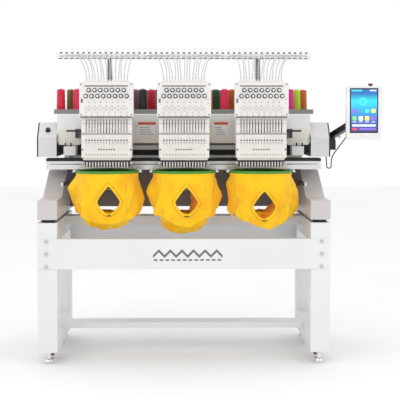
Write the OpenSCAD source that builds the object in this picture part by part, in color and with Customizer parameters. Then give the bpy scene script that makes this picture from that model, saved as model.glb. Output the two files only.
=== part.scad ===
// Three-head embroidery machine on a box-section stand, millimetres, +Z up, front faces -Y.
// Shapes are written with X = 0 on the centre plane of the heads and Y = 0 at the front of
// the legs. placed() then moves them so that the origin is under the middle of the whole part.

/* [Stand] */
// Width over the legs
stand_w = 1500; // [1480:10:1520]
// Depth over the legs
stand_d = 800; // [790:5:810]
// Side of the square legs and side rails
leg = 100; // [90:5:100]
// Wall of the box sections
leg_wall = 3; // [2:0.5:5]
// Height of the top of the stand
stand_top = 730; // [725:1:735]
// Underside of the legs, above the floor
leg_foot = 62; // [60:1:64]

/* [Heads] */
// Distance between two heads
head_pitch = 400; // [395:1:405]
// Distance between two needles
needle_pitch = 15; // [14:0.5:15]
// Distance of the needle line behind the front of the legs
needle_y = 120; // [118:1:122]
// Height of the top of the needle plate
plate_top = 976; // [974:1:977]

/* [Hoops] */
// Outer radius of the outer hoop ring
hoop_r = 165; // [155:1:168]
// Distance of the hoop centre behind the front of the legs
hoop_y = 125; // [120:1:128]

/* [Thread stand] */
// Distance between two threads on the rail
rail_pitch = 30; // [28:1:30]
// Outer diameter of a thread tube
tube_d = 6; // [4:0.5:8]

/* [Panel] */
// Width of the control panel
panel_w = 184; // [160:1:190]
// Height of the control panel
panel_h = 280; // [250:1:290]

/* [Hidden] */
$fn = 48;

origin_x = 124;
origin_y = 418;
half_w = stand_w / 2;
inner_x = half_w - leg;
head_x = [-head_pitch, 0, head_pitch];
needles = [-7:7];
idle = [for (i = needles) if (i != 0) i];
mid_x = half_w - leg / 2;

// Fasteners of the stand
bolt_x = half_w - 45;
bolt_z = [506, 571, 636];
bolt_r = 6;
nut_r = 10;
beam_z = [493, 648];
sheet = 4;
// Radial play of a shaft in its bore
fit = 0.05;

// Body of the machine
base_z = stand_top + 16;
body_back = stand_d + 60;
table_holes = [60, 180];
arm_z = [897, 972];
shaft_top = [400, 1200];
shaft_motor = [740, 1200];
shaft_low = [740, 880];
hook_z = 935;
hook_shaft_r = 9;
shaft_r = 12;
beam_y = 330;
upper_z = [1131, 1285];
upper_x = 683;
beam_wall = 5;
pulley_r = 28;
motor_shaft_r = 8;
cover_t = 8;
belt_x = [-664, -675];

// Embroidery drive
rail_y = [395, 495];
rail_z = [986, 1030];
rail_wall = 4;
guide_t = 12;

// Panel and its arm
panel_x = 944;
panel_y = [150, 185];
panel_mid_z = 1293;
panel_top = panel_mid_z + panel_h / 2;
stop_xy = [panel_x + 36, 168];
stop_r = 8;
arm_pivot = [809, 400, 1146];
tilt_y = 205;
arm_elbow = [936, 252, 1262];
pin_r = 5;
lug_x = [15, 32];

// Feet
foot_y = [leg / 2, stand_d - leg / 2];
caster_y = [160, 575];
wheel_z = 35;
wheel_r = 20;
wheel_w = 28;
axle_r = 3;
screw_r = 8;

// Route of the panel cable, from the panel down through its loop and into the end cover
cable_d = 6;
cable_path = [
  [880, 194, 1200], [880, 204, 1199], [878, 216, 1192], [872, 232, 1178], [862, 250, 1160],
  [851, 268, 1141], [839, 285, 1121], [827, 300, 1102], [815, 313, 1083], [805, 322, 1064],
  [799, 328, 1046], [797, 331, 1026], [797, 333, 1006], [793.5, 334, 997.5], [785, 335, 994],
  [776.5, 336, 997.5], [773, 337, 1006], [773, 339, 1022], [772, 342, 1038], [771, 345, 1054],
  [770, 347, 1070]];

module placed() translate([-origin_x, -origin_y, 0]) children();
module box(a, b) translate(a) cube(b - a);
module both_sides() { children(); mirror([1, 0, 0]) children(); }
module front_and_rear() { children(); translate([0, stand_d, 0]) mirror([0, 1, 0]) children(); }
module each_head() { for (x = head_x) translate([x, 0, 0]) children(); }
module along_x(x0, x1, y, z, r) translate([x0, y, z]) rotate([0, 90, 0]) cylinder(h = x1 - x0, r = r);
module along_y(x, y0, y1, z, r) translate([x, y0, z]) rotate([-90, 0, 0]) cylinder(h = y1 - y0, r = r);
module along_z(x, y, z0, z1, r) translate([x, y, z0]) cylinder(h = z1 - z0, r = r);

// A hollow box with closed ends
module shell(a, b, wall) difference() {
  box(a, b);
  box(a + [wall, wall, wall], b - [wall, wall, wall]);
}

// A rectangle with round corners, centred
module round_rect(w, h, r) {
  square([w - 2 * r, h], center = true);
  square([w, h - 2 * r], center = true);
  for (x = [-1, 1], y = [-1, 1]) translate([x * (w / 2 - r), y * (h / 2 - r)]) circle(r);
}

// A rectangular tube along X, between two corners in the Y-Z plane
module tube_x(x, low, high, wall) difference() {
  box([-x, low[0], low[1]], [x, high[0], high[1]]);
  box([-x - 1, low[0] + wall, low[1] + wall], [x + 1, high[0] - wall, high[1] - wall]);
}

// A bar of rectangular section from p to q
module bar(p, q, w, h) {
  d = q - p;
  translate(p) rotate([0, acos(d[2] / norm(d)), atan2(d[1], d[0])])
    translate([-h / 2, -w / 2, 0]) cube([h, w, norm(d)]);
}

// A flat belt around two pulleys whose centres are a and b in the Y-Z plane
module belt(x, a, b, r, thick, width) {
  d = b - a;
  translate([x, a[0], a[1]]) rotate([atan2(d[1], d[0]), 0, 0]) rotate([90, 0, 90])
    linear_extrude(width) difference() {
      union() {
        circle(r + thick);
        translate([norm(d), 0]) circle(r + thick);
        translate([0, -r - thick]) square([norm(d), 2 * (r + thick)]);
      }
      circle(r);
      translate([norm(d), 0]) circle(r);
      translate([0, -r]) square([norm(d), 2 * r]);
    }
}

// ---- Stand ----
module legs() color("gainsboro") placed() both_sides() front_and_rear() difference() {
  shell([inner_x, 0, leg_foot], [half_w, leg, stand_top], leg_wall);
  along_z(mid_x, leg / 2, leg_foot - 1, leg_foot + 10, screw_r + 0.1);
  for (z = bolt_z) along_y(bolt_x, -1, 10, z, bolt_r + 0.2);
}

module side_rails() color("gainsboro") placed() both_sides() for (z = [leg_foot, stand_top - leg])
  difference() {
    box([inner_x, leg, z], [half_w, stand_d - leg, z + leg]);
    box([inner_x + leg_wall, leg - 1, z + leg_wall],
        [half_w - leg_wall, stand_d - leg + 1, z + leg - leg_wall]);
  }

module stand_beams() color("whitesmoke") placed() front_and_rear() difference() {
  union() {
    box([-half_w, -sheet, beam_z[0]], [half_w, 0, beam_z[1]]);
    box([-inner_x + 1, 0, beam_z[0]], [inner_x - 1, 36, beam_z[0] + sheet]);
    box([-inner_x + 1, 0, beam_z[1] - sheet], [inner_x - 1, 36, beam_z[1]]);
  }
  for (x = [-bolt_x, bolt_x], z = bolt_z) along_y(x, -sheet - 1, 1, z, bolt_r + 0.2);
}

module crossbeams() color("whitesmoke") placed() {
  tube_x(inner_x, [470, 675], [590, 725], leg_wall);
  tube_x(inner_x, [309, 131], [433, 162], leg_wall);
}

module stand_bolts() color("silver") placed() both_sides() front_and_rear()
  for (z = bolt_z) translate([bolt_x, 0, z]) rotate([-90, 0, 0]) {
    translate([0, 0, -sheet - 7]) cylinder(h = 7, r = nut_r, $fn = 6);
    translate([0, 0, -sheet]) cylinder(h = 20, r = bolt_r);
    translate([0, 0, leg_wall]) cylinder(h = 8, r = nut_r, $fn = 6);
  }

module rubber_mounts() color("dimgray") placed() both_sides() for (y = foot_y)
  along_z(mid_x, y, stand_top, base_z, 35);

module levelling_foot(sx, y) color("silver") placed() translate([sx * mid_x, y, 0]) {
  rotate_extrude() polygon([[0, 0], [28, 0], [30, 2], [30, 14], [26, 22], [13, 25], [0, 25]]);
  translate([0, 0, 25]) cylinder(h = 22, r1 = 13, r2 = 9);
  translate([0, 0, 47]) cylinder(h = 10, r = 14, $fn = 6);
  cylinder(h = 100, r = screw_r);
}
module levelling_foot_1() levelling_foot(-1, foot_y[0]);
module levelling_foot_2() levelling_foot(1, foot_y[0]);
module levelling_foot_3() levelling_foot(-1, foot_y[1]);
module levelling_foot_4() levelling_foot(1, foot_y[1]);

module caster_forks() color("gray") placed() both_sides() for (y = caster_y)
  translate([mid_x, y, 0]) {
    box([-26, -30, 57], [26, 30, leg_foot]);
    for (x = [-20, 17]) difference() {
      box([x, -12, 26], [x + 3, 12, 57]);
      along_x(x - 1, x + 4, 0, wheel_z, axle_r + fit);
    }
  }

// Two wheels on one line across the stand, each with its axle through its fork
module caster_pair(y) color("maroon") placed() both_sides()
  translate([mid_x, y, wheel_z]) {
    rotate([0, 90, 0]) cylinder(h = wheel_w, r = wheel_r, center = true);
    rotate([0, 90, 0]) cylinder(h = wheel_w + 18, r = axle_r, center = true);
  }

module caster_wheels_front() caster_pair(caster_y[0]);
module caster_wheels_rear() caster_pair(caster_y[1]);

// ---- Body ----
housing_top = [844, 975];
housing_profile = [[0, base_z], [0, housing_top[0]], [242, housing_top[0]], [535, housing_top[1]],
  [body_back, housing_top[1]], [body_back, base_z]];
housing_hollow = [[sheet, base_z + sheet], [sheet, housing_top[0] - sheet],
  [243, housing_top[0] - sheet], [536, housing_top[1] - sheet],
  [body_back - sheet, housing_top[1] - sheet], [body_back - sheet, base_z + sheet]];
module yz_plate(points, x0, x1)
  translate([x0, 0, 0]) rotate([90, 0, 90]) linear_extrude(x1 - x0) polygon(points);

module side_housings() color("lightgray") placed() difference() {
  both_sides() difference() {
    union() {
      difference() {
        yz_plate(housing_profile, inner_x, half_w);
        yz_plate(housing_hollow, inner_x + sheet, half_w - sheet);
      }
      for (y = table_holes) along_z(mid_x, y, housing_top[0] - 20, housing_top[0] - 3, 11);
    }
    for (y = table_holes) along_z(mid_x, y, housing_top[0] - 24, housing_top[0] + 1, 4);
  }
  box([-678, 705, 960], [-665, 775, 980]);
  along_x(-660, -649, shaft_low[0], shaft_low[1], 14);
}

module bed_beam() color("rosybrown") placed() difference() {
  box([-inner_x, 690, 760], [inner_x, 790, 966]);
  for (x = [-inner_x - 1, -195, 205]) box([x, 695, 765], [x + (x < -inner_x ? 446 : 390), 785, 961]);
  box([595, 695, 765], [inner_x + 1, 785, 961]);
  along_x(-inner_x - 1, 601, shaft_low[0], shaft_low[1], shaft_r + fit);
  for (x = head_x) along_y(x, 680, 700, hook_z, hook_shaft_r + 3);
}

module back_wall() color("whitesmoke") placed() {
  difference() {
    shell([-upper_x, 796, 975], [upper_x, body_back, upper_z[0]], 4);
    for (x = [-300, 300]) along_y(x, body_back - 5, body_back + 1, 1050, 12);
  }
  difference() {
    box([-682, 700, 975], [-651, 782, upper_z[0]]);
    box([-679, 703, 974], [-654, 779, upper_z[0] + 1]);
  }
}

module throat_rails() color("dimgray") placed() {
  box([-645, 740, 1083], [upper_x, 796, 1105]);
  box([-645, 760, 1050], [upper_x, 796, 1081]);
}

module upper_beam() color("white") placed() difference() {
  union() {
    tube_x(upper_x, [beam_y, upper_z[0]], [body_back, upper_z[1]], beam_wall);
    for (x = [-204, 196]) box([x, beam_y + 4, upper_z[0] + 4], [x + 8, 470, upper_z[1] - 4]);
  }
  along_x(-210, 210, shaft_top[0], shaft_top[1], shaft_r + fit);
  box([-678, 705, upper_z[0] - 1], [-665, 775, upper_z[0] + beam_wall + 1]);
}

module beam_covers() color("linen") placed() {
  for (x = [-head_pitch / 2, head_pitch / 2]) translate([x, 0, 0]) {
    box([-66, 324, 1131], [66, beam_y, 1258]);
    for (s = [-48, 48]) along_y(s, 320, 324, 1146, 5);
  }
  both_sides() {
    translate([615, beam_y, 1165]) rotate([90, 0, 0]) linear_extrude(cover_t) round_rect(120, 88, 10);
    along_y(640, 318, 322, 1152, 6);
  }
}

end_z = [1058, 1240];
end_profile = [[300, end_z[0]], [300, 1160], [380, end_z[1]], [body_back, end_z[1]],
  [body_back, end_z[0]]];
end_hollow = [[304, end_z[0] + sheet], [304, 1158], [382, end_z[1] - sheet],
  [body_back - sheet, end_z[1] - sheet], [body_back - sheet, end_z[0] + sheet]];
end_x = 781;
module end_covers() color("gainsboro") placed() both_sides() {
  difference() {
    yz_plate(end_profile, upper_x, end_x);
    yz_plate(end_hollow, upper_x - 1, end_x - sheet);
    along_z(771, 346, 1050, 1065, 5);
  }
  difference() {
    box([577, 250, 1067], [640, 360, upper_z[0]]);
    box([580, 253, 1070], [637, 326, 1140]);
    box([570, 240, 1115], [650, beam_y, 1140]);
  }
}

module end_trims() color("black") placed() both_sides() yz_plate(end_profile, end_x, end_x + 7);

module head_arms() color("silver") placed() each_head() difference() {
  union() {
    box([-60, 225, 1062], [60, beam_y, 1258]);
    for (z = [1100, 1220]) box([-30, 193.5, z - 4], [30, 225, z + 16]);
  }
  box([-56, 229, 1066], [56, beam_y + 1, 1254]);
  box([-9, 190, 1120], [9, 235, 1210]);
}

// Each arm is a tube, open at its front end, with two webs that carry the hook shaft
arm_y = [60, 690];
arm_w = 90;
arm_bays = [[arm_y[0] - 1, 150], [156, 300], [306, arm_y[1] + 1]];
module arm_block(y, wall, r) translate([0, y[1], (arm_z[0] + arm_z[1]) / 2]) rotate([90, 0, 0])
  linear_extrude(y[1] - y[0]) round_rect(arm_w - 2 * wall, arm_z[1] - arm_z[0] - 2 * wall, r);
module cylinder_arms() color("white") placed() each_head() difference() {
  arm_block(arm_y, 0, 14);
  for (bay = arm_bays) arm_block(bay, sheet, 11);
  along_y(0, 50, 310, hook_z, hook_shaft_r + fit);
  along_z(0, needle_y, 960, 980, 6);
}

module needle_plates() color("silver") placed() each_head() difference() {
  translate([0, 122, arm_z[1]]) linear_extrude(plate_top - arm_z[1]) round_rect(60, 90, 8);
  along_z(0, needle_y, 970, 980, 1.5);
}

module bobbin_cases() color("silver") placed() each_head() difference() {
  along_y(0, 82, 99.5, hook_z, 15);
  along_y(0, 81, 86, hook_z, 5);
}

module hook(x) color("silver") placed() difference() {
  union() {
    along_y(x, 100, 122, hook_z, 20);
    along_y(x, 122, 758, hook_z, hook_shaft_r);
    along_y(x, 724, 756, hook_z, 18);
  }
  along_y(x, 99, 116, hook_z, 16.5);
}
module hook_left() hook(head_x[0]);
module hook_middle() hook(head_x[1]);
module hook_right() hook(head_x[2]);

module lower_shaft() color("silver") placed() {
  along_x(-676, 590, shaft_low[0], shaft_low[1], shaft_r);
  along_x(-676, -667, shaft_low[0], shaft_low[1], pulley_r);
  for (x = head_x) along_x(x - 15, x + 15, shaft_low[0], shaft_low[1], 36);
}

module main_shaft() color("silver") placed() {
  along_x(-665, 620, shaft_top[0], shaft_top[1], shaft_r);
  along_x(-665, -656, shaft_top[0], shaft_top[1], pulley_r);
  for (x = head_x) translate([x, shaft_top[0], shaft_top[1]]) rotate([0, 90, 0])
    translate([12, 0, -10]) cylinder(h = 20, r = 28);
}

module motor_pulley() color("silver") placed() {
  along_x(-676, -656, shaft_motor[0], shaft_motor[1], pulley_r);
  along_x(-656, -600, shaft_motor[0], shaft_motor[1], motor_shaft_r);
}

module drive_motors() color("dimgray") placed() {
  difference() {
    union() {
      along_x(-640, -500, shaft_motor[0], shaft_motor[1], 48);
      box([-620, 700, upper_z[0] + beam_wall], [-520, 780, 1160]);
    }
    along_x(-641, -600, shaft_motor[0], shaft_motor[1], motor_shaft_r + fit);
  }
  both_sides() box([665, 600, base_z + 4], [735, 680, 830]);
}

module drive_belts() color("black") placed() {
  belt(belt_x[0], shaft_top, shaft_motor, pulley_r + 0.3, 3, 7);
  belt(belt_x[1], shaft_low, shaft_motor, pulley_r + 0.3, 3, 7);
}

// ---- Thread stand ----
cone_y = [470, 560, 650];
tray_z = [1288, 1313];
tray_floor = 1292;
cone_step = 90;
cone_lean = 46;
thread_rail_y = [326, 346];
thread_rail_z = [1583, 1612];
function cone_x(i, row) = i * cone_step + (row - 1) * cone_lean;
module thread_tray() color("gray") placed() {
  difference() {
    box([-709, 420, tray_z[0]], [709, 700, tray_z[1]]);
    box([-706, 423, tray_floor], [706, 697, tray_z[1] + 1]);
  }
  for (x = [-500, 0, 500]) box([x - 20, 440, upper_z[1]], [x + 20, 680, tray_z[0]]);
  for (row = [0:2], i = needles) along_z(cone_x(i, row), cone_y[row], tray_floor - 1, tray_floor + 58, 3);
  for (x = [-head_pitch, head_pitch])
    box([x - 12, thread_rail_y[1], upper_z[1]], [x + 12, thread_rail_y[1] + 20, 1606]);
}

module thread_cones() color("crimson") placed() for (row = [0:2], i = needles)
  translate([cone_x(i, row), cone_y[row], tray_floor]) difference() {
    union() {
      cylinder(h = 132, r1 = 25, r2 = 20);
      cylinder(h = 136, r = 9);
    }
    translate([0, 0, -1]) cylinder(h = 140, r = 4);
  }

rail_xs = [for (h = [0:2], i = needles) head_x[h] * 1.125 + i * rail_pitch];
head_xs = [for (h = [0:2], i = needles) head_x[h] + i * needle_pitch];
module thread_rail() color("whitesmoke") placed() {
  box([-upper_x, thread_rail_y[0], thread_rail_z[0]], [upper_x, thread_rail_y[1], thread_rail_z[1]]);
  for (x = rail_xs) {
    box([x - 5, thread_rail_y[0] + 4, thread_rail_z[1]],
        [x + 5, thread_rail_y[1] - 4, thread_rail_z[1] + 10]);
    translate([x, (thread_rail_y[0] + thread_rail_y[1]) / 2, thread_rail_z[1] + 19])
      rotate([90, 0, 0]) rotate_extrude() translate([9, 0]) circle(1.2, $fn = 16);
  }
}

// One tube: straight out of the rail, then down over a quarter turn into the head
tube_bend = 140;
tube_y = [324, 110];
tube_z = 1598;
module thread_tube(x0, x1) {
  run = [x1 - x0, tube_y[1] - tube_y[0]];
  straight = norm(run) - tube_bend;
  translate([x0, tube_y[0], tube_z]) rotate([0, 0, atan2(run[1], run[0])]) {
    rotate([0, 90, 0]) cylinder(h = straight, r = tube_d / 2, $fn = 16);
    translate([straight, 0, -tube_bend]) rotate([90, 0, 0]) rotate_extrude(angle = 90)
      translate([tube_bend, 0]) circle(tube_d / 2, $fn = 16);
  }
}
module thread_tubes() color("lightgray") placed()
  for (k = [0:len(rail_xs) - 1]) thread_tube(rail_xs[k], head_xs[k]);

// ---- Embroidery drive ----
module y_guides() color("silver") placed() both_sides()
  box([inner_x - guide_t, 200, 905], [inner_x, 690, 925]);

module y_carriers() color("dimgray") placed() {
  both_sides() box([600, 415, 895], [inner_x - guide_t - 0.4, 475, rail_z[0]]);
  box([560, 495, 988], [630, 555, 1044]);
}

module x_rail() color("silver") placed() difference() {
  tube_x(half_w, [rail_y[0], rail_z[0]], [rail_y[1], rail_z[1]], rail_wall);
  box([-half_w - 1, rail_y[0] - 1, 1012], [half_w + 1, rail_y[0] + rail_wall + 1, 1016]);
}

module x_rail_cover() color("black") placed()
  box([-half_w, rail_y[0], rail_z[1]], [half_w, rail_y[1], 1046]);

module x_carriage() color("silver") placed() {
  box([-590, 375, 988], [590, 394.5, 1010]);
  each_head() both_sides() box([hoop_r + 1, hoop_y - 20, 984], [hoop_r + 15, 375, 990]);
}

module hoops() color("darkgreen") placed() each_head() translate([0, hoop_y, 982]) difference() {
  cylinder(h = 13, r = hoop_r, $fn = 96);
  translate([0, 0, -1]) cylinder(h = 15, r = hoop_r - 12, $fn = 96);
}

// One garment: a hollow bell hung from the hoop, open behind for the arm and at the neck
module bell(gap) hull() {
  translate([0, hoop_y, 960]) cylinder(h = 21.4 - gap, r = hoop_r + 3 - gap, $fn = 32);
  for (x = [-1, 1]) translate([x * (183 - gap), hoop_y - 20, 905]) sphere(15, $fn = 20);
  translate([0, hoop_y - 30, 756]) scale([1.15, 1, 1]) sphere(90 - gap, $fn = 32);
}
module shirts() color("gold") placed() each_head() difference() {
  bell(0);
  bell(3);
  translate([-110, 120, 600]) cube([220, 300, 375]);
  translate([0, 100, 0]) rotate([90, 0, 0]) linear_extrude(250)
    polygon([[0, 914], [56, 830], [40, 772], [-40, 772], [-56, 830]]);
}

// ---- Needle cases ----
case_x = 130;
case_y = [72, 185];
case_z = [1060, 1182, 1271];
bar_r = 3.6;
slide_t = 8.2;
rod_yz = [205, 1198];
rod_r = 5;
bush_x = head_pitch + 18;
module needle_cases() color("whitesmoke") placed() each_head() difference() {
  union() {
    box([-case_x, case_y[0], case_z[0]], [case_x, case_y[1], case_z[1]]);
    box([-case_x, case_y[0] + 6, case_z[1]], [case_x, case_y[1], case_z[2]]);
    box([-122, 104, 1039], [122, 136, case_z[0]]);
  }
  box([sheet - case_x, case_y[0] + sheet, case_z[0] + sheet],
      [case_x - sheet, case_y[1] - sheet, case_z[1] - sheet]);
  box([sheet - case_x, case_y[0] + 6 + sheet, case_z[1] - 12],
      [case_x - sheet, case_y[1] - sheet, case_z[2] - sheet]);
  for (z = [[1080, 1100], [1130, 1210]]) box([-112, 176, z[0]], [112, 190, z[1]]);
  for (i = needles) {
    box([i * needle_pitch - 2.5, 70, 1188], [i * needle_pitch + 2.5, 84, 1260]);
    along_z(i * needle_pitch, needle_y, 1030, 1066, bar_r + 0.3);
  }
}

module case_rails() color("silver") placed() {
  each_head() box([1 - case_x, case_y[1], 1220], [case_x - 1, case_y[1] + slide_t, 1232]);
  box([1 - case_x - head_pitch, case_y[1], 1100], [head_pitch + case_x - 1, case_y[1] + slide_t, 1122]);
  both_sides() difference() {
    box([bush_x, case_y[1], rod_yz[1] - 10], [bush_x + 20, rod_yz[0] + 10, rod_yz[1] + 10]);
    along_x(bush_x - 1, bush_x + 21, rod_yz[0], rod_yz[1], rod_r + 0.1);
  }
}

// A fixed rod at each end of the row, on which the outer cases slide
module rod_clamps() color("black") placed() both_sides() {
  box([555, 188, 1160], [572, beam_y - cover_t - 0.2, 1208]);
  along_x(300, 620, rod_yz[0], rod_yz[1], rod_r);
}

tension_y = 58;
tension_top = 1451;
module tension_bases() color("whitesmoke") placed() each_head() {
  difference() {
    box([-139, tension_y, case_z[2]], [139, 120, tension_top]);
    box([-136, tension_y + 3, case_z[2] + 3], [136, 121, tension_top - 3]);
  }
  box([-118, 96, tension_top], [118, 118, tension_top + 7]);
}

module tension_knobs() color("silver") placed() each_head() for (i = needles)
  let (x = i * needle_pitch, z = i % 2 == 0 ? 1410 : 1379) {
    along_y(x, tension_y - 12, tension_y, z, 3.5);
    along_y(x, tension_y - 18, tension_y - 10, z, 11);
    along_y(x, tension_y - 7, tension_y, z - 62, 4);
  }

bar_low = 1033;
needle_tip = 1008;
module needle_bar(x) {
  along_z(x, needle_y, bar_low + 2, 1170, bar_r);
  along_z(x, needle_y, bar_low, bar_low + 5.7, 5.5);
  along_z(x, needle_y, needle_tip, bar_low, 0.8);
}
foot_z = 1009;
module foot_piece(x) {
  difference() {
    box([x - 6, 112, foot_z], [x + 6, 133, foot_z + 3]);
    along_z(x, needle_y, 1000, 1020, 3.5);
  }
  box([x - 4, 129, foot_z + 3], [x + 4, 133, bar_low + 5.7]);
}
module idle_needles() color("silver") placed() each_head() for (i = idle) {
  needle_bar(i * needle_pitch);
  foot_piece(i * needle_pitch);
}
module active_needles() color("silver") placed() each_head() needle_bar(0);
module presser_feet() color("silver") placed() each_head() foot_piece(0);

// A thread lever on its pivot behind the slots
module takeup(x) translate([x, 150, 1225]) {
  rotate([0, 90, 0]) translate([0, 0, -3]) cylinder(h = 6, r = 6);
  rotate([-15, 0, 0]) translate([-1.2, -88, -2.5]) cube([2.4, 88, 5]);
}
module idle_takeups() color("silver") placed() each_head() for (i = idle) takeup(i * needle_pitch);
module takeup_levers() color("silver") placed() each_head() takeup(0);

// ---- Panel ----
module arm_bracket() color("black") placed()
  box([788, 380, 1092], [828, 420, arm_pivot[2]]);

module panel_arm() color("black") placed() {
  along_z(arm_pivot[0], arm_pivot[1], arm_pivot[2], 1184, 19);
  bar([arm_pivot[0] + 3, arm_pivot[1] - 4, 1170], arm_elbow, 40, 30);
  bar([panel_x, arm_elbow[1] + 6, arm_elbow[2]], [panel_x, tilt_y + 4, panel_mid_z - 3], 24, 22);
  along_x(panel_x - 14, panel_x + 14, tilt_y, panel_mid_z, 13);
  along_x(panel_x - lug_x[1] - 2, panel_x + lug_x[1] + 2, tilt_y, panel_mid_z, pin_r);
}

module control_panel() color("white") placed() difference() {
  union() {
    translate([panel_x, panel_y[1], panel_mid_z]) rotate([90, 0, 0])
      linear_extrude(panel_y[1] - panel_y[0]) round_rect(panel_w, panel_h, 14);
    for (x = [panel_x - lug_x[1], panel_x + lug_x[0]]) box([x, panel_y[1], panel_mid_z - 14],
      [x + lug_x[1] - lug_x[0], tilt_y + 12, panel_mid_z + 14]);
    along_y(880, panel_y[1], panel_y[1] + 8, 1200, 6);
  }
  along_x(panel_x - 40, panel_x + 40, tilt_y, panel_mid_z, pin_r + fit);
  along_z(stop_xy[0], stop_xy[1], panel_top - 8, panel_top + 7, stop_r + 0.2);
}

module stop_button() color("maroon") placed() {
  along_z(stop_xy[0], stop_xy[1], panel_top - 2, panel_top + 7, stop_r);
  along_z(stop_xy[0], stop_xy[1], panel_top + 6, panel_top + 14, 13);
}

module power_knob() color("black") placed() translate([-732, 338, 1198]) rotate([45, 0, 0]) {
  cylinder(h = 4, r = 14);
  cylinder(h = 14, r = 11);
}

// A round tube swept along a list of points
function unit(v) = v / norm(v);
function side_of(t) = unit(cross(t, [0.3, 0.2, 1]));
module sweep(path, r, sides) {
  n = len(path);
  tangents = [for (i = [0:n - 1]) unit(path[min(i + 1, n - 1)] - path[max(i - 1, 0)])];
  rings = [for (i = [0:n - 1]) let (u = side_of(tangents[i]), v = cross(tangents[i], u))
    for (k = [0:sides - 1]) path[i] + r * (cos(360 * k / sides) * u + sin(360 * k / sides) * v)];
  walls = [for (i = [0:n - 2], k = [0:sides - 1])
    [i * sides + k, i * sides + (k + 1) % sides,
     (i + 1) * sides + (k + 1) % sides, (i + 1) * sides + k]];
  polyhedron(rings, concat([[for (k = [sides - 1:-1:0]) k]], walls,
    [[for (k = [0:sides - 1]) (n - 1) * sides + k]]));
}
module panel_cable() color("dimgray") placed() sweep(cable_path, cable_d / 2, 10);

legs();
side_rails();
stand_beams();
crossbeams();
stand_bolts();
rubber_mounts();
side_housings();
bed_beam();
back_wall();
throat_rails();
upper_beam();
beam_covers();
end_covers();
end_trims();
head_arms();
cylinder_arms();
needle_plates();
bobbin_cases();
thread_tray();
thread_cones();
thread_rail();
thread_tubes();
y_guides();
rod_clamps();
drive_motors();
drive_belts();
arm_bracket();
caster_forks();
panel_cable();
x_rail();
x_rail_cover();
y_carriers();
x_carriage();
hoops();
shirts();
needle_cases();
tension_bases();
tension_knobs();
idle_needles();
idle_takeups();
case_rails();
active_needles();
presser_feet();
takeup_levers();
main_shaft();
motor_pulley();
lower_shaft();
hook_left();
hook_middle();
hook_right();
panel_arm();
control_panel();
stop_button();
power_knob();
levelling_foot_1();
levelling_foot_2();
levelling_foot_3();
levelling_foot_4();
caster_wheels_front();
caster_wheels_rear();
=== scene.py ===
import math

import bpy
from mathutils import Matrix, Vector, noise


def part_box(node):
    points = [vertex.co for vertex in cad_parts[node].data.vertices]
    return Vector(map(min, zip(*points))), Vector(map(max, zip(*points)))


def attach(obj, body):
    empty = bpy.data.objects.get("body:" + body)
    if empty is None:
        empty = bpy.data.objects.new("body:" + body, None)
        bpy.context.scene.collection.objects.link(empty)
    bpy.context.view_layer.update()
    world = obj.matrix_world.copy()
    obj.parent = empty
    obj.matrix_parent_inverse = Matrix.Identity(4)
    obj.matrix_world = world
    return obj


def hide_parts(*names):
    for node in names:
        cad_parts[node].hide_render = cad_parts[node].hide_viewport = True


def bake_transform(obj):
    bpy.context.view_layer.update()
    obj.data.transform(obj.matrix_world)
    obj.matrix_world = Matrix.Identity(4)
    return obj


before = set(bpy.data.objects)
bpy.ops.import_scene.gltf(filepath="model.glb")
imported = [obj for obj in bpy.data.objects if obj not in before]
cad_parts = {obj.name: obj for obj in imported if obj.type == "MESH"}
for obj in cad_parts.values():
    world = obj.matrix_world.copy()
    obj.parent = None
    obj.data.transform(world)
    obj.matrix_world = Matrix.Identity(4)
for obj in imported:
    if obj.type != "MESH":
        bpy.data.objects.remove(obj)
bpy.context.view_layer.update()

MM = 0.001

# Machine coordinates in mm: X = 0 between the outer legs, Y = 0 at the front of the legs.
LEGS_LOW, LEGS_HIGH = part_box("legs")
ORIGIN = Vector(((LEGS_LOW[0] + LEGS_HIGH[0]) / 2, LEGS_LOW[1], 0.0))
HEAD_PITCH = 400
HEADS = (-HEAD_PITCH, 0, HEAD_PITCH)
NEEDLE_PITCH = 15
NEEDLES = range(-7, 8)
THREADS = len(HEADS) * len(NEEDLES)
RAIL_PITCH = 30
CONE_PITCH, CONE_LEAN = 90, 46
CONE_FOOT, CONE_TALL = 1293, 131
HOOP_Y = 125
HOOP_R = 165
HOOP_STEPS = 96

# Directions that turned parts grow in.
FORWARD = (0, -1, 0)
UP = (0, 0, 1)

# Front faces of the heads, as Y in mm.
BASE_FACE = 58
CASE_FACE = 72

# The camera, solved from the photograph's perspective.
CAMERA_SPOT = (-21, -5714, 1280)
CAMERA_LENS = 100.8
CAMERA_SHIFT = -0.105
CAMERA_DOWN = 2.18
CAMERA_TURN = -1.02


def place(x, y, z):
    """A point in machine millimetres as a point in the frame."""
    return ORIGIN + Vector((x, y, z)) * MM


# ---------------------------------------------------------------- camera and light
def make_camera():
    data = bpy.data.cameras.new("camera")
    data.sensor_width = 36.0
    data.lens = CAMERA_LENS
    data.shift_y = CAMERA_SHIFT
    data.clip_end = 60.0
    cam = bpy.data.objects.new("camera", data)
    bpy.context.collection.objects.link(cam)
    cam.location = place(*CAMERA_SPOT)
    cam.rotation_euler = (math.radians(90 - CAMERA_DOWN), 0.0, math.radians(CAMERA_TURN))
    bpy.context.scene.camera = cam


def area_light(name, spot, aim, size, power):
    data = bpy.data.lights.new(name, "AREA")
    data.shape = "RECTANGLE"
    data.size, data.size_y = size
    data.energy = power
    lamp = bpy.data.objects.new(name, data)
    bpy.context.collection.objects.link(lamp)
    lamp.location = Vector(spot)
    lamp.rotation_euler = (Vector(aim) - Vector(spot)).to_track_quat("-Z", "Y").to_euler()


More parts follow.
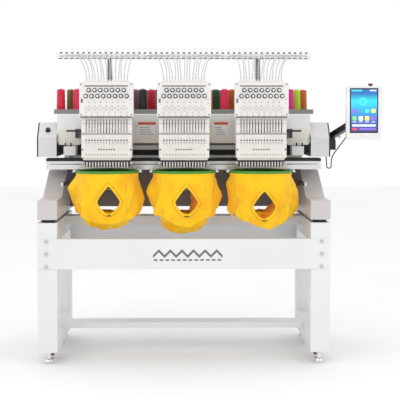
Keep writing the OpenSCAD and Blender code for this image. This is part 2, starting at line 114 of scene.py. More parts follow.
def make_light():
    world = bpy.data.worlds.new("studio")
    bpy.context.scene.world = world
    world.use_nodes = True
    world.node_tree.nodes["Background"].inputs["Color"].default_value = (1, 1, 1, 1)
    world.node_tree.nodes["Background"].inputs["Strength"].default_value = 1.0
    area_light("key", (-2.6, -4.2, 3.6), (0, 0, 0.9), (2.4, 2.0), 26)
    area_light("fill", (3.4, -3.6, 2.4), (0.1, 0, 0.9), (2.2, 2.2), 13)
    area_light("top", (0, 0.2, 4.4), (0, 0, 1.0), (3.4, 2.4), 16)
    bpy.context.scene.view_settings.view_transform = "Standard"


# ---------------------------------------------------------------- materials
def new_material(name):
    mat = bpy.data.materials.new(name)
    mat.use_nodes = True
    tree = mat.node_tree
    return mat, tree.nodes, tree.links, tree.nodes["Principled BSDF"]


def coordinates(nodes, links, stretch=(1, 1, 1)):
    coord = nodes.new("ShaderNodeTexCoord")
    mapping = nodes.new("ShaderNodeMapping")
    mapping.inputs["Scale"].default_value = stretch
    links.new(coord.outputs["Object"], mapping.inputs["Vector"])
    return mapping.outputs["Vector"]


def noise_node(nodes, links, where, scale, detail=4.0):
    node = nodes.new("ShaderNodeTexNoise")
    node.inputs["Scale"].default_value = scale
    node.inputs["Detail"].default_value = detail
    links.new(where, node.inputs["Vector"])
    return node


def ramp(nodes, links, value, stops):
    node = nodes.new("ShaderNodeValToRGB")
    links.new(value, node.inputs["Fac"])
    node.color_ramp.elements[0].position, node.color_ramp.elements[0].color = stops[0]
    node.color_ramp.elements[1].position, node.color_ramp.elements[1].color = stops[-1]
    for position, colour in stops[1:-1]:
        node.color_ramp.elements.new(position).color = colour
    return node.outputs["Color"]


def grey(level):
    return (level,) * 3 + (1,)


def shade(colour, factor):
    return tuple(min(1.0, c * factor) for c in colour) + (1.0,)


def bump(nodes, links, height, strength, distance, edge=0.0):
    node = nodes.new("ShaderNodeBump")
    node.inputs["Strength"].default_value = strength
    node.inputs["Distance"].default_value = distance
    links.new(height, node.inputs["Height"])
    if edge:
        bevel = nodes.new("ShaderNodeBevel")
        bevel.samples = 4
        bevel.inputs["Radius"].default_value = edge
        links.new(bevel.outputs["Normal"], node.inputs["Normal"])
    return node.outputs["Normal"]


def paint(name, colour, rough=0.42, coat=0.15, edge=0.0012, spread=0.05):
    """Powder coat: a fine orange-peel surface, faint cloudy colour and uneven gloss."""
    mat, nodes, links, bsdf = new_material(name)
    where = coordinates(nodes, links)
    cloud = noise_node(nodes, links, where, 3.0, 6.0)
    links.new(ramp(nodes, links, cloud.outputs["Fac"],
                   [(0.25, shade(colour, 1 - spread)), (0.75, shade(colour, 1 + spread / 2))]),
              bsdf.inputs["Base Color"])
    gloss = noise_node(nodes, links, where, 14.0, 5.0)
    links.new(ramp(nodes, links, gloss.outputs["Fac"],
                   [(0.3, grey(rough - 0.06)), (0.7, grey(rough + 0.08))]),
              bsdf.inputs["Roughness"])
    bsdf.inputs["Coat Weight"].default_value = coat
    bsdf.inputs["Coat Roughness"].default_value = 0.3
    peel = noise_node(nodes, links, where, 900.0, 2.0)
    links.new(bump(nodes, links, peel.outputs["Fac"], 0.12, 0.0004, edge), bsdf.inputs["Normal"])
    return mat


def metal(name, colour, rough=0.3, grain=(1, 60, 60), edge=0.0008):
    """Ground or drawn metal: fine lines along one direction, with patchy polish."""
    mat, nodes, links, bsdf = new_material(name)
    where = coordinates(nodes, links, grain)
    lines = noise_node(nodes, links, where, 40.0, 8.0)
    links.new(ramp(nodes, links, lines.outputs["Fac"],
                   [(0.2, shade(colour, 0.86)), (0.8, shade(colour, 1.08))]),
              bsdf.inputs["Base Color"])
    links.new(ramp(nodes, links, lines.outputs["Fac"],
                   [(0.3, grey(rough * 0.75)), (0.7, grey(rough * 1.3))]),
              bsdf.inputs["Roughness"])
    bsdf.inputs["Metallic"].default_value = 1.0
    links.new(bump(nodes, links, lines.outputs["Fac"], 0.1, 0.0003, edge), bsdf.inputs["Normal"])
    return mat


def plastic(name, colour, rough=0.4, texture=600.0, depth=0.15, edge=0.0006):
    """Moulded plastic or rubber with a fine spark-eroded grain."""
    mat, nodes, links, bsdf = new_material(name)
    where = coordinates(nodes, links)
    grain = noise_node(nodes, links, where, texture, 3.0)
    cloud = noise_node(nodes, links, where, 9.0, 4.0)
    links.new(ramp(nodes, links, cloud.outputs["Fac"],
                   [(0.3, shade(colour, 0.9)), (0.7, shade(colour, 1.1))]),
              bsdf.inputs["Base Color"])
    links.new(ramp(nodes, links, grain.outputs["Fac"],
                   [(0.3, grey(rough - 0.05)), (0.7, grey(rough + 0.1))]),
              bsdf.inputs["Roughness"])
    links.new(bump(nodes, links, grain.outputs["Fac"], depth, 0.0003, edge), bsdf.inputs["Normal"])
    return mat


def clear_plastic(name, colour):
    mat, nodes, links, bsdf = new_material(name)
    where = coordinates(nodes, links)
    haze = noise_node(nodes, links, where, 60.0, 3.0)
    links.new(ramp(nodes, links, haze.outputs["Fac"],
                   [(0.3, shade(colour, 0.92)), (0.7, shade(colour, 1.05))]),
              bsdf.inputs["Base Color"])
    bsdf.inputs["Roughness"].default_value = 0.25
    bsdf.inputs["Alpha"].default_value = 0.62
    bsdf.inputs["IOR"].default_value = 1.4
    return mat


def thread(name, colour):
    """Wound thread: fine turns crossing at a shallow angle, with a silky sheen."""
    mat, nodes, links, bsdf = new_material(name)
    where = coordinates(nodes, links)
    turns = nodes.new("ShaderNodeTexWave")
    turns.bands_direction = "Z"
    turns.inputs["Scale"].default_value = 180.0
    turns.inputs["Distortion"].default_value = 2.5
    turns.inputs["Detail"].default_value = 2.0
    links.new(where, turns.inputs["Vector"])
    links.new(ramp(nodes, links, turns.outputs["Color"],
                   [(0.1, shade(colour, 0.7)), (0.9, shade(colour, 1.1))]),
              bsdf.inputs["Base Color"])
    bsdf.inputs["Roughness"].default_value = 0.38
    bsdf.inputs["Sheen Weight"].default_value = 0.08
    bsdf.inputs["Sheen Roughness"].default_value = 0.4
    links.new(bump(nodes, links, turns.outputs["Color"], 0.6, 0.0006), bsdf.inputs["Normal"])
    return mat


def knit(name, colour, deep):
    """Cotton jersey: small rows of stitches, soft creases, and cloudy patches of deeper orange as
    painted shade.
    """
    mat, nodes, links, bsdf = new_material(name)
    where = coordinates(nodes, links)
    cloud = noise_node(nodes, links, where, 9.0, 5.0)
    creases = noise_node(nodes, links, coordinates(nodes, links, (1, 1, 0.35)), 38.0, 3.0)
    # Base colour: a cloud between the deep colour and the yellow, with the deep patches as painted
    # shade for the shading of folds.
    links.new(ramp(nodes, links, cloud.outputs["Fac"],
                   [(0.33, deep + (1,)), (0.55, colour + (1,)), (0.8, shade(colour, 1.04))]),
              bsdf.inputs["Base Color"])
    rows = nodes.new("ShaderNodeTexWave")
    rows.bands_direction = "Z"
    rows.inputs["Scale"].default_value = 260.0
    rows.inputs["Distortion"].default_value = 1.2
    links.new(where, rows.inputs["Vector"])
    mix = nodes.new("ShaderNodeMath")
    mix.operation = "MULTIPLY_ADD"
    links.new(rows.outputs["Fac"], mix.inputs[0])
    mix.inputs[1].default_value = 0.12
    links.new(creases.outputs["Fac"], mix.inputs[2])
    links.new(bump(nodes, links, mix.outputs[0], 0.55, 0.004), bsdf.inputs["Normal"])
    bsdf.inputs["Roughness"].default_value = 0.85
    bsdf.inputs["Sheen Weight"].default_value = 0.1
    bsdf.inputs["Sheen Roughness"].default_value = 0.5
    return mat


def screen_colours(name):
    """The lit screen's backdrop: dark at the top, then teal, blue and violet downwards."""
    mat, nodes, links, bsdf = new_material(name)
    low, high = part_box("control_panel")
    coord = nodes.new("ShaderNodeTexCoord")
    split = nodes.new("ShaderNodeSeparateXYZ")
    links.new(coord.outputs["Object"], split.inputs["Vector"])
    level = nodes.new("ShaderNodeMapRange")
    level.inputs["From Min"].default_value = low[2]
    level.inputs["From Max"].default_value = high[2]
    links.new(split.outputs["Z"], level.inputs["Value"])
    colour = ramp(nodes, links, level.outputs["Result"],
                  [(0.12, (0.06, 0.05, 0.14, 1)), (0.3, (0.05, 0.09, 0.3, 1)),
                   (0.52, (0.03, 0.25, 0.55, 1)), (0.72, (0.03, 0.5, 0.55, 1)),
                   (0.86, (0.02, 0.12, 0.35, 1))])
    links.new(colour, bsdf.inputs["Base Color"])
    links.new(colour, bsdf.inputs["Emission Color"])
    bsdf.inputs["Emission Strength"].default_value = 0.7
    bsdf.inputs["Roughness"].default_value = 0.12
    return mat


def floor_paint():
    """A plain pale studio floor with the faintest unevenness."""
    mat, nodes, links, bsdf = new_material("floor_paint")
    cloud = noise_node(nodes, links, coordinates(nodes, links), 1.5, 2.0)
    links.new(ramp(nodes, links, cloud.outputs["Fac"],
                   [(0.3, (0.93, 0.93, 0.93, 1)), (0.7, (0.95, 0.95, 0.95, 1))]),
              bsdf.inputs["Base Color"])
    bsdf.inputs["Roughness"].default_value = 0.95
    bsdf.inputs["Specular IOR Level"].default_value = 0.1
    return mat


def lit(name, colour, glow=0.7):
    mat = plastic(name, colour, 0.3, 400.0, 0.05, 0.0)
    bsdf = mat.node_tree.nodes["Principled BSDF"]
    bsdf.inputs["Emission Color"].default_value = colour + (1,)
    bsdf.inputs["Emission Strength"].default_value = glow
    return mat


PAINTS = {
    "stand": paint("stand_paint", (0.80, 0.80, 0.805)),
    # Side housings: a mid grey, darker than the stand's white, as painted shade for the shadow under
    # the X rail.
    "housing": paint("housing_paint", (0.60, 0.565, 0.555)),
    "cover": paint("cover_paint", (0.84, 0.84, 0.845)),
    "head": paint("head_paint", (0.82, 0.79, 0.765), 0.36, 0.25),
    "cream": paint("cream_paint", (0.80, 0.765, 0.70)),
    "end": paint("end_paint", (0.70, 0.69, 0.70)),
    "bed": paint("bed_paint", (0.21, 0.165, 0.15), 0.5, 0.05),
    "tray": paint("tray_paint", (0.25, 0.245, 0.225), 0.45),
    "dark": paint("dark_paint", (0.035, 0.033, 0.032), 0.5),
    "black": paint("black_paint", (0.012, 0.012, 0.013), 0.38, 0.1, 0.0012, 0.2),
    "red": paint("red_paint", (0.62, 0.04, 0.035), 0.35),
    "ink": paint("ink", (0.03, 0.03, 0.032), 0.4, 0.1, 0.0),
    "grey_ink": paint("grey_ink", (0.16, 0.15, 0.15), 0.5, 0.0, 0.0),
}
METALS = {
    "aluminium": metal("aluminium", (0.80, 0.80, 0.81), 0.34),
    "steel": metal("steel", (0.72, 0.71, 0.70), 0.24, (60, 60, 1)),
    "zinc": metal("zinc", (0.60, 0.60, 0.61), 0.36, (1, 1, 1)),
    "chrome": metal("chrome_plate", (0.78, 0.78, 0.79), 0.12, (1, 1, 1)),
    "brass": metal("brass_plate", (0.72, 0.55, 0.28), 0.3, (1, 1, 1)),
}
PLASTICS = {
    "black": plastic("black_plastic", (0.012, 0.012, 0.013), 0.42),
    "rubber": plastic("black_rubber", (0.025, 0.025, 0.027), 0.7, 300.0, 0.3),
    "cable": plastic("cable_jacket", (0.03, 0.03, 0.033), 0.5, 250.0, 0.25),
    "white": plastic("white_plastic", (0.83, 0.83, 0.84), 0.3),
    "glass": plastic("screen_surround", (0.01, 0.01, 0.014), 0.12, 100.0, 0.0),
    "maroon": plastic("maroon_plastic", (0.16, 0.008, 0.03), 0.3),
    # A darker green than green_edge: painted shade for the hoops' inner ring.
    "green": plastic("green_plastic", (0.006, 0.085, 0.012), 0.38),
    "green_edge": plastic("green_edge", (0.045, 0.27, 0.03), 0.4),
    "tube": clear_plastic("clear_tube", (0.62, 0.62, 0.64)),
}
# The second colour of each knit is the painted shade of its cloud patches.
FABRIC = {
    "yellow": knit("yellow_jersey", (1.0, 0.60, 0.003), (0.96, 0.46, 0.002)),
    "rib": knit("yellow_rib", (1.0, 0.64, 0.012), (0.95, 0.50, 0.004)),
    # Darker yellow for the tube round the collar: a painted shadow line along the collar's edge.
    "shadow_seam": knit("yellow_shadow_seam", (0.80, 0.36, 0.002), (0.70, 0.28, 0.002)),
    # Orange for the garments' insides seen through the neck: painted shade on the same yellow cloth.
    "orange": knit("orange_inside_shade", (0.95, 0.30, 0.01), (0.85, 0.22, 0.01)),
}


def paint_nodes():
    """Every CAD node that stays in view gets its material."""
    plan = {
        PAINTS["stand"]: ["legs", "side_rails", "stand_beams", "crossbeams"],
        PAINTS["housing"]: ["side_housings"],
        PAINTS["cover"]: ["back_wall", "upper_beam", "cylinder_arms", "thread_rail"],
        PAINTS["head"]: ["needle_cases", "tension_bases"],
        PAINTS["cream"]: ["beam_covers"],
        PAINTS["end"]: ["end_covers"],
        PAINTS["bed"]: ["bed_beam"],
        PAINTS["tray"]: ["thread_tray", "case_rails"],
        PAINTS["dark"]: ["throat_rails", "y_carriers", "drive_motors"],
        PAINTS["black"]: ["rod_clamps", "arm_bracket", "panel_arm"],
        METALS["aluminium"]: ["x_rail", "head_arms"],
        METALS["steel"]: ["needle_plates", "bobbin_cases", "y_guides", "x_carriage",
                          "idle_needles", "idle_takeups", "active_needles",
                          "presser_feet", "takeup_levers", "main_shaft", "motor_pulley",
                          "lower_shaft", "hook_left", "hook_middle", "hook_right"],
        METALS["zinc"]: ["stand_bolts", "caster_forks"],
        METALS["chrome"]: ["levelling_foot_1", "levelling_foot_2", "levelling_foot_3",
                           "levelling_foot_4"],
        PLASTICS["black"]: ["end_trims", "x_rail_cover", "power_knob"],
        PLASTICS["rubber"]: ["rubber_mounts", "drive_belts"],
        PLASTICS["white"]: ["control_panel"],
        PLASTICS["maroon"]: ["stop_button", "caster_wheels_front", "caster_wheels_rear"],
        PLASTICS["green"]: ["hoops"],
        PLASTICS["tube"]: ["thread_tubes"],
        PLASTICS["cable"]: ["panel_cable"],
        FABRIC["yellow"]: ["shirts"],
        METALS["brass"]: ["tension_knobs", "thread_cones"],
    }
    for mat, names in plan.items():
        for name in names:
            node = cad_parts[name]
            for slot in node.material_slots:
                slot.link = "DATA"
                slot.material = mat


# ---------------------------------------------------------------- mesh building
class Shape:
    """Collects faces in machine millimetres and turns them into one object."""

    def __init__(self):
        self.points, self.faces, self.smooth, self.kinds = [], [], [], []

    def add(self, points, faces, smooth=False, kind=0):
        first = len(self.points)
        self.points += [Vector(p) for p in points]
        for face in faces:
            self.faces.append([first + k for k in face])
            self.smooth.append(smooth)
            self.kinds.append(kind)

    def slab(self, low, high, round_by=0.0, kind=0):
        """A box whose edges along Y, and whose front face, are eased by round_by."""
        (x0, y0, z0), (x1, y1, z1) = low, high
        r = min(round_by, (x1 - x0) / 2.01, (z1 - z0) / 2.01)
        if r <= 0:
            rim = [(x0, z0), (x1, z0), (x1, z1), (x0, z1)]
        else:
            rim = []
            for cx, cz, a in ((x1 - r, z0 + r, -90), (x1 - r, z1 - r, 0),
                              (x0 + r, z1 - r, 90), (x0 + r, z0 + r, 180)):
                for k in range(5):
                    t = math.radians(a + 22.5 * k)
                    rim.append((cx + r * math.cos(t), cz + r * math.sin(t)))
        n = len(rim)
        cx, cz = (x0 + x1) / 2, (z0 + z1) / 2
        ease = min(r * 0.5, (y1 - y0) * 0.5, 1.5)
        inner = []
        for x, z in rim:
            d = Vector((cx - x, cz - z))
            d = d.normalized() * ease if d.length > 0 else d
            inner.append((x + d.x, z + d.y))
        layers = [[(x, y0, z) for x, z in inner], [(x, y0 + ease, z) for x, z in rim],
                  [(x, y1, z) for x, z in rim]]
        points = [p for layer in layers for p in layer]
        faces = [list(range(n)), list(range(3 * n - 1, 2 * n - 1, -1))]
        for level in range(2):
            for k in range(n):
                a, b = level * n + k, level * n + (k + 1) % n
                faces.append([a, a + n, b + n, b])
        self.add(points, faces, False, kind)

    def turned(self, centre, axis, profile, sides=24, kind=0):
        """A lathe shape: profile is (distance along axis, radius) pairs."""
        axis = Vector(axis).normalized()
        u = axis.orthogonal().normalized()
        v = axis.cross(u)
        centre = Vector(centre)
        points = []
        for along, radius in profile:
            for k in range(sides):
                t = 2 * math.pi * k / sides
                points.append(centre + axis * along
                              + (u * math.cos(t) + v * math.sin(t)) * max(radius, 0.01))
        faces = [list(range(sides - 1, -1, -1)),
                 [(len(profile) - 1) * sides + k for k in range(sides)]]
        for level in range(len(profile) - 1):
            for k in range(sides):
                a, b = level * sides + k, level * sides + (k + 1) % sides
                faces.append([a, b, b + sides, a + sides])
        self.add(points, faces[:2], False, kind)
        first = len(self.points) - len(points)
        for face in faces[2:]:
            self.faces.append([first + k for k in face])
            self.smooth.append(True)
            self.kinds.append(kind)

    def tube(self, path, radius, sides=10, kind=0, closed=False):
        """A round tube along a list of points."""
        path = [Vector(p) for p in path]
        n = len(path)
        points, up = [], Vector((0, 0, 1))
        for k in range(n):
            before = path[k - 1] if (k or closed) else path[k]
            after = path[(k + 1) % n] if (k < n - 1 or closed) else path[k]
            t = (after - before).normalized()
            u = up - t * up.dot(t)
            u = u.normalized() if u.length > 1e-3 else t.orthogonal().normalized()
            up = u
            v = t.cross(u)
            for s in range(sides):
                a = 2 * math.pi * s / sides
                points.append(path[k] + (u * math.cos(a) + v * math.sin(a)) * radius)
        faces = [] if closed else [list(range(sides - 1, -1, -1)),
                                   [(n - 1) * sides + s for s in range(sides)]]
        for k in range(n if closed else n - 1):
            m = (k + 1) % n
            for s in range(sides):
                r = (s + 1) % sides
                faces.append([k * sides + s, k * sides + r, m * sides + r, m * sides + s])
        self.add(points, faces, True, kind)

    def build(self, name, body, materials, slot=None):
        mesh = bpy.data.meshes.new(name)
        mesh.from_pydata([place(*p) for p in self.points], [], self.faces)
        for mat in materials:
            mesh.materials.append(mat)
        for polygon, smooth, kind in zip(mesh.polygons, self.smooth, self.kinds):
            polygon.use_smooth = smooth
            polygon.material_index = kind
        mesh.validate()
        mesh.update()
        obj = bpy.data.objects.new(name, mesh)
        bpy.context.collection.objects.link(obj)
        if body:
            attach(obj, body)
        return obj


def spline(points, steps=8):
    """A smooth curve through the points."""
    points = [Vector(p) for p in points]
    out = []
    for k in range(len(points) - 1):
        a = points[max(k - 1, 0)]
        b, c = points[k], points[k + 1]
        d = points[min(k + 2, len(points) - 1)]
        for s in range(steps):
            t = s / steps
            out.append(0.5 * ((2 * b) + (c - a) * t + (2 * a - 5 * b + 4 * c - d) * t ** 2
                              + (3 * b - a - 3 * c + d) * t ** 3))
    return out + [points[-1]]


# ---------------------------------------------------------------- cable
CABLE_D = 6
CABLE_ROUTE = [
    (880, 194, 1200), (880, 204, 1199), (878, 216, 1192), (872, 232, 1178), (862, 250, 1160),
    (851, 268, 1141), (839, 285, 1121), (827, 300, 1102), (815, 313, 1083), (805, 322, 1064),
    (799, 328, 1046), (797, 331, 1026), (797, 333, 1006), (793.5, 334, 997.5), (785, 335, 994),
    (776.5, 336, 997.5), (773, 337, 1006), (773, 339, 1022), (772, 342, 1038),
    (771, 345, 1054), (770, 347, 1070)]


def make_cable():
    route = spline(CABLE_ROUTE, 5)
    shape = Shape()
    shape.tube(route, CABLE_D / 2, 12)
    cable = shape.build("panel_lead", "machine", [PLASTICS["cable"]], "cable_rubber")
    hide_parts("panel_cable")
    # The lead is only as long as the modelled run, with no spare length added.
    relief = Shape()
    relief.turned((770, 347, 1056), UP, [(0, 3.6), (1, 6.5), (3, 6.5), (5, 4.8)], 20)
    relief.build("lead_gland", "machine", [PLASTICS["black"]], "black_plastic")


# ---------------------------------------------------------------- hoops
def make_hoops():
    """An outer clamp ring and an inner ring with rounded sections, screw and lugs."""
    shape = Shape()
    steps = HOOP_STEPS
    for hx in HEADS:
        # The inner ring takes the darker green as painted shade; the outer ring takes the brighter
        # green.
        for inner, outer, low, high, kind in ((HOOP_R - 5.5, HOOP_R, 982, 995, 0),
                                              (HOOP_R - 12, HOOP_R - 6.2, 981.8, 993.4, 1)):
            section = [(inner, low + 1.5), (inner + 1.2, low), (outer - 1.2, low), (outer, low + 1.5),
                       (outer, high - 2), (outer - 1.6, high), (inner + 1.6, high), (inner, high - 2)]
            points, faces = [], []
            for k in range(steps):
                a = 2 * math.pi * k / steps
                for r, z in section:
                    points.append((hx + r * math.cos(a), HOOP_Y + r * math.sin(a), z))
            m = len(section)
            for k in range(steps):
                for s in range(m):
                    a, b = k * m + s, k * m + (s + 1) % m
                    c, d = ((k + 1) % steps) * m + (s + 1) % m, ((k + 1) % steps) * m + s
                    faces.append([a, d, c, b])
            shape.add(points, faces, True, kind)
        for side in (-1, 1):
            x = hx + side * (HOOP_R + 5)
            shape.slab((x - 7, HOOP_Y - 26, 990.2), (x + 7, HOOP_Y + 30, 997), 2, 2)
            for y in (HOOP_Y - 14, HOOP_Y + 14):
                shape.turned((x, y, 997), UP, [(0, 4.5), (2.6, 4.5), (3.4, 3.4)], 16, 2)
    rings = shape.build("hoop_rings", "x_carriage_body",
                        [PLASTICS["green_edge"], PLASTICS["green"], METALS["steel"]], "green_plastic")
    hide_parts("hoops")


# Each garment: where its hem is lowest, the height of its neck opening, the lowest point of
# the loose cloth behind the hem, and the outline of its left and right sleeves as
# (height, distance from the middle) from the hoop down.
GARMENTS = (
    dict(hem=(16, 718), neck=(15, 842), roll=686,
         left=((978, 158), (902, 206), (834, 186), (793, 168), (772, 146)),
         right=((978, 156), (930, 168), (842, 193), (792, 180), (768, 166))),
    dict(hem=(14, 713), neck=(12, 838), roll=667,
         left=((978, 158), (884, 199), (834, 178), (790, 160), (772, 146)),
         right=((978, 156), (930, 174), (862, 200), (800, 178), (774, 150))),
    dict(hem=(20, 694), neck=(9, 816), roll=720,
         left=((978, 158), (925, 179), (852, 171), (786, 179), (764, 158)),
         right=((978, 156), (884, 197), (800, 199), (758, 170))))


def neck_point(hx, look, radius, angle):
    """X and height of the point at radius and angle from the middle of the neck."""
    return hx + look["neck"][0] + radius * math.cos(angle), look["neck"][1] + radius * math.sin(angle)


def neck_radius(angle):
    """Distance from the middle of the neck opening to its edge: a drop with its point up."""
    c, s = math.cos(angle), math.sin(angle)
    side, tall, power = (62.0, 84.0, 1.12) if s > 0 else (62.0, 70.0, 1.5)
    return (abs(c / side) ** power + abs(s / tall) ** power) ** (-1 / power)


def profile(z, stops):
    """A value at height z through (z, value) stops that go downwards."""
    if z >= stops[0][0]:
        return stops[0][1]
    for (za, a), (zb, b) in zip(stops, stops[1:]):
        if z >= zb:
            t = (za - z) / (za - zb)
            return a + (b - a) * (t * 0.6 + 0.4 * t * t * (3 - 2 * t))
    return stops[-1][1]


def crumple(seed, x, y, z, size, height):
    """Soft folds: two layers of noise, stretched down the cloth."""
    wide = noise.noise(Vector((x / size, y / size, z / (2.6 * size))) + seed)
    fine = noise.noise(Vector((x * 2.3 / size, y * 2.3 / size, z / size)) + seed * 2)
    ridge = 1 - abs(noise.noise(Vector((x * 1.4 / size, y / size, z * 0.9 / size)) + seed * 3)) * 3
    return height * (wide + 0.45 * fine + 0.35 * max(0.0, ridge))


def grid(shape, points, rows, cols, kind=0, skip=None, wrap=False):
    """Faces over a grid of points; skip(middle) leaves a cell open."""
    used = []
    for j in range(rows - 1):
        for k in range(cols if wrap else cols - 1):
            m = (k + 1) % cols
            ids = [j * cols + k, j * cols + m, (j + 1) * cols + m, (j + 1) * cols + k]
            if skip is None or not skip(sum((Vector(points[i]) for i in ids), Vector()) / 4):
                used.append(ids)
    shape.add(points, used, True, kind)
    return used


def body_sheet(shape, hx, look, seed):
    """The front and sides of the garment, hung from the hoop, open behind for the arm."""
    across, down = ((240, 72))
    hem_x, hem_z = look["hem"]
    wide = ((981, HOOP_R - 2), (950, 157), (880, 148), (790, 150), (700, 128))
    deep = ((981, HOOP_R - 1), (940, 160), (860, 152), (780, 146), (700, 122))
    points = []
    for j in range(down + 1):
        t = j / down
        for k in range(across):
            theta = 2 * math.pi * k / across
            c, s = math.cos(theta), math.sin(theta)
            front = max(0.0, -s)
            lean = 1 - min(1.0, abs(c * 150 - hem_x) / 165)
            hem = 776 - (776 - hem_z) * front ** 0.6 * lean ** 0.8 + 7 * math.sin(5 * theta + hx)
            z = 981 - t * (981 - hem)
            sharp = 1 + 0.55 * min(1.0, max(0.0, (970 - z) / 90))
            x = profile(z, wide) * math.copysign(abs(c) ** (1 / sharp), c)
            y = profile(z, deep) * math.copysign(abs(s) ** (1 / sharp), s)
            grow = min(1.0, t * 3.0)
            pleats = (4.6 * math.sin(11 * theta + hx) ** 3 * (1 - 0.5 * t)
                      + 1.6 * math.sin(26 * theta + hx * 0.7) * (1 - t))
            pull = 8.5 * t * t * math.sin(7 * theta + 9 * t + hx)
            out = grow * (pleats + pull + crumple(seed, x, y, z, 58, 13.0 * (0.5 + t)))
            points.append((hx + x + out * c, HOOP_Y + y + out * s, z))

    def open_here(p):
        dx, dz = p.x - hx - look["neck"][0], p.z - look["neck"][1]
        if p.y < HOOP_Y and math.hypot(dx, dz) < neck_radius(math.atan2(dz, dx)):
            return True
        return p.y > HOOP_Y + 20 and abs(p.x - hx) < 118 and p.z < 968

    faces = grid(Shape(), points, down + 1, across, 0, open_here, True)
    sides = {}
    for face in faces:
        for a, b in zip(face, face[1:] + face[:1]):
            key = (min(a, b), max(a, b))
            sides[key] = sides.get(key, 0) + 1
    for v in {v for key, n in sides.items() if n == 1 for v in key}:
        x, y, z = points[v]
        dx, dz = x - hx - look["neck"][0], z - look["neck"][1]
        if y < HOOP_Y and math.hypot(dx, dz) < 96:
            a = math.atan2(dz, dx)
            x, z = neck_point(hx, look, neck_radius(a), a)
            points[v] = (x, y, z)
    shape.add(points, faces, True, 0)
    return points


def sleeve(shape, hx, side, stops, seed):
    """A flattened sleeve that stands out behind the edge of the body."""
    cols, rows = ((30, 40))
    top, low = 978, stops[-1][0]
    points = []
    for j in range(rows):
        t = j / (rows - 1)
        for k in range(cols):
            u = k / (cols - 1)
            tuck = abs(2 * u - 1) ** 1.5
            z = top - t * (top - low + 16 * (1 - tuck) * t - 12 * tuck)
            tip = profile(z, stops)
            root = 128
            x = root + (tip - root) * (1 - tuck)
            y = HOOP_Y - 62 + 118 * u + 5 * math.sin(9 * t + hx)
            fold = crumple(seed, x, y, z, 40, 12.0 * min(1.0, 4 * t) * (1 - 0.8 * tuck))
            points.append((hx + side * (x + 0.4 * fold), y + fold, z + 0.3 * fold * t))
    grid(shape, points, rows, cols)


def back_roll(shape, hx, look, seed):
    """The loose back of the garment, rolled under behind the hem."""
    cols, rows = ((72, 26))
    points = []
    for j in range(rows):
        v = j / (rows - 1)
        for k in range(cols):
            u = -1 + 2 * k / (cols - 1)
            bowl = math.sqrt(max(0.0, 1 - u * u))
            bottom = 764 - (764 - look["roll"]) * bowl ** 0.8
            lip = 792 - 10 * bowl
            z = bottom + (lip - bottom) * abs(2 * v - 1) ** 1.8
            y = 12 + 160 * v - 22 * (1 - bowl) * (1 - 2 * v)
            x = 120 * u + 5 * math.sin(3 * v) * u
            fold = crumple(seed, x, y, z, 46, 9.0) + 2.0 * math.sin(13 * v + 2 * u)
            points.append((hx + x, y + fold, z + 0.8 * fold))
    grid(shape, points, rows, cols)


def hoop_top(shape, hx):
    """The cloth stretched flat in the hoop."""
    across = 96
    rings = (4, 30, 60, 90, 120, 146, HOOP_R - 2)
    points = [(hx + radius * math.cos(2 * math.pi * k / across),
               HOOP_Y + radius * math.sin(2 * math.pi * k / across), 979.8)
              for radius in rings for k in range(across)]
    grid(shape, points, len(rings), across, 0, None, True)
    shape.add(points[:across], [list(range(across))], True, 0)


def lining(shape, hx, look, angles, shift):
    """The inside of the garment's far side, seen through the neck opening, coloured orange as painted
    shade.
    """
    cols, rows = 24, 10
    points = []
    for j in range(rows):
        t = j / (rows - 1)
        for k in range(cols):
            a = math.radians(angles[0] + (angles[1] - angles[0]) * k / (cols - 1))
            radius = neck_radius(a) * (1.06 - 0.1 * t)
            bulge = math.sin(math.pi * k / (cols - 1)) ** 0.7
            x, z = neck_point(hx, look, radius, a)
            points.append((x + shift[0] * t * bulge,
                           -16 + shift[1] * t + 3 * math.sin(7 * t + k * 0.6),
                           z + shift[2] * t * bulge))
    grid(shape, points, rows, cols, 1)


def make_collar(index, hx, look, points):
    """The ribbed band round the neck opening, laid on the body sheet."""
    front = [p for p in points if p[1] < HOOP_Y and abs(p[0] - hx) < 90]

    def surface_y(x, z):
        near = sorted(front, key=lambda p: (p[0] - x) ** 2 + (p[2] - z) ** 2)[:6]
        weights = [1 / (1 + (p[0] - x) ** 2 + (p[2] - z) ** 2) for p in near]
        return sum(w * p[1] for w, p in zip(weights, near)) / sum(weights)

    steps = 96
    section = ((0.9, -4.0), (0.92, 2.2), (0.98, 4.8), (1.06, 5.0), (1.12, 3.4), (1.14, -0.8))
    band = []
    for k in range(steps):
        a = 2 * math.pi * k / steps
        radius = neck_radius(a)
        y = surface_y(*neck_point(hx, look, radius * 1.08, a))
        for scale, lift in section:
            x, z = neck_point(hx, look, radius * scale, a)
            band.append((x, y - lift - 0.4 * (k % 2), z))
    shape = Shape()
    faces = []
    m = len(section)
    for k in range(steps):
        for n in range(m - 1):
            a, b = k * m + n, k * m + n + 1
            c, d = ((k + 1) % steps) * m + n + 1, ((k + 1) % steps) * m + n
            faces.append([a, b, c, d])
    shape.add(band, faces, True, 0)
    # A thin tube just outside the band, in the darker yellow, as a painted shadow line along the
    # collar's edge.
    shadow_seam = []
    for k in range(steps):
        a = 2 * math.pi * k / steps
        x, z = neck_point(hx, look, neck_radius(a) * 1.16, a)
        shadow_seam.append((x, surface_y(x, z) - 0.6, z))
    shape.tube(shadow_seam, 1.1, 6, 2, True)
    middle, low = hx + look["neck"][0], look["neck"][1] - 73
    tag_y = surface_y(middle, low)
    shape.slab((middle - 12, tag_y - 7, low - 3), (middle + 12, tag_y - 5, low + 3), 1.5, 1)
    return shape.build(f"collar_{index}", None, [FABRIC["rib"], PAINTS["ink"], FABRIC["shadow_seam"]],
                       "yellow_fabric")


def finish_cloth(obj):
    """One subdivision, applied, with the transform baked into the mesh."""
    subdivide = obj.modifiers.new("smooth", "SUBSURF")
    subdivide.levels = subdivide.render_levels = 1
    bpy.context.view_layer.objects.active = obj
    obj.select_set(True)
    bpy.ops.object.modifier_apply(modifier="smooth")
    obj.select_set(False)
    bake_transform(obj)


